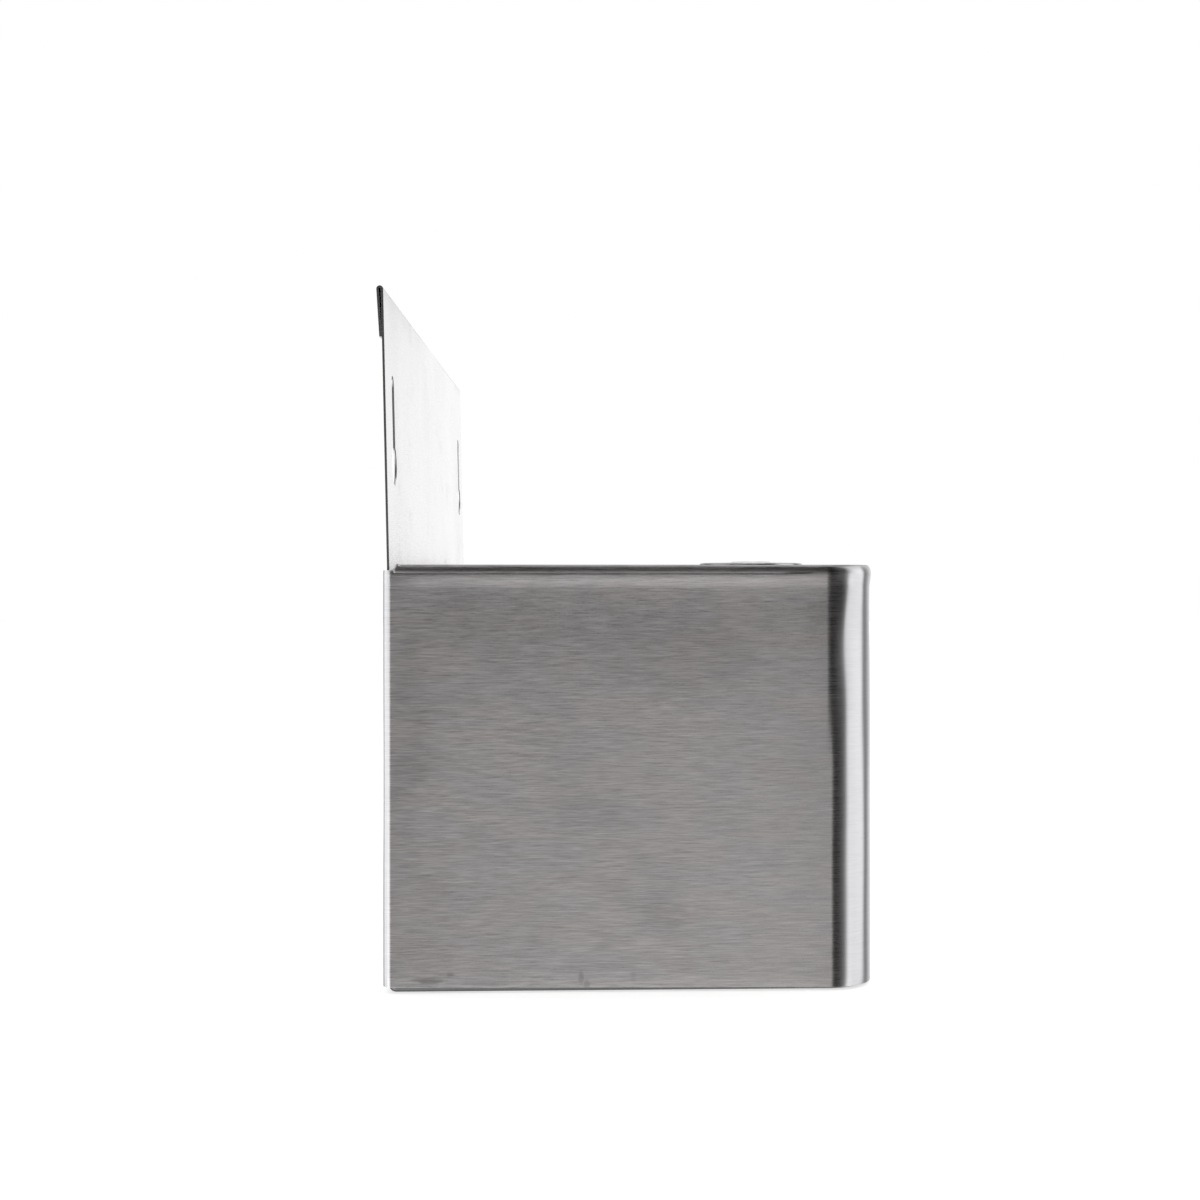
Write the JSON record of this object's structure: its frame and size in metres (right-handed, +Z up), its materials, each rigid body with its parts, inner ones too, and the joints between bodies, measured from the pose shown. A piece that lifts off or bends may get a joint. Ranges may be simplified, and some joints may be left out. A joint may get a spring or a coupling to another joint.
{
  "type": "ashtray bin",
  "caption": "Wall-mounted ashtray bin: open-topped sheet box with rounded front corners, rolled rim, keyholed back plate, lift-out inner bin and hinged locking lid.",
  "frame": {"origin": "middle of the flat base, midway across the width and midway between the front and the rear returns", "axes": "+X along the width, -Y towards the front, +Y towards the wall, +Z up"},
  "size_m": [0.2104, 0.1059, 0.149],
  "materials": {
    "brushed_steel": "fine horizontal brushing, satin",
    "wall_plate_steel": "fine horizontal brushing, satin",
    "inner_steel": "mill finish, dull",
    "lid_steel": "brushed, satin",
    "rivet_metal": "smooth, satin",
    "lock_chrome": "polished",
    "cam_steel": "zinc plated",
    "rubber": "matt"
  },
  "bodies": {
    "body": {"shell": "brushed_steel", "back_plate": "wall_plate_steel", "base_pan": "inner_steel", "lock_keeper": "inner_steel", "back_rivets": "rivet_metal", "pan_rivets": "rivet_metal"},
    "liner": {"liner": "inner_steel", "liner_hinge_leaf": "inner_steel", "liner_leaf_rivets": "rivet_metal", "hinge_pin": "cam_steel"},
    "lid": {"lid": "lid_steel", "lid_hinge_leaf": "inner_steel", "lid_leaf_rivets": "rivet_metal", "lid_bumpers": "rubber", "stub_plate": "lid_steel", "stub_plate_rivets": "rivet_metal", "lock_body": "lock_chrome", "lock_gasket": "rubber", "lock_nut": "cam_steel"},
    "lock": {"lock_plug": "lock_chrome", "lock_cam": "cam_steel", "cam_washer": "cam_steel", "cam_screw": "cam_steel"}
  },
  "joints": [
    {"name": "liner_lift", "type": "slide", "parent": "body", "child": "liner", "axis": [0, 0, 1], "range_m": [0, 0.1]},
    {"name": "lid_hinge", "type": "hinge", "parent": "liner", "child": "lid", "pos_m": [0, 0.0465, 0.08627], "axis": [-1, 0, 0], "range_deg": [0, 85]},
    {"name": "lock_turn", "type": "hinge", "parent": "lid", "child": "lock", "pos_m": [0, -0.0345, 0.0887], "axis": [0, 0, -1], "range_deg": [0, 90]}
  ]
}
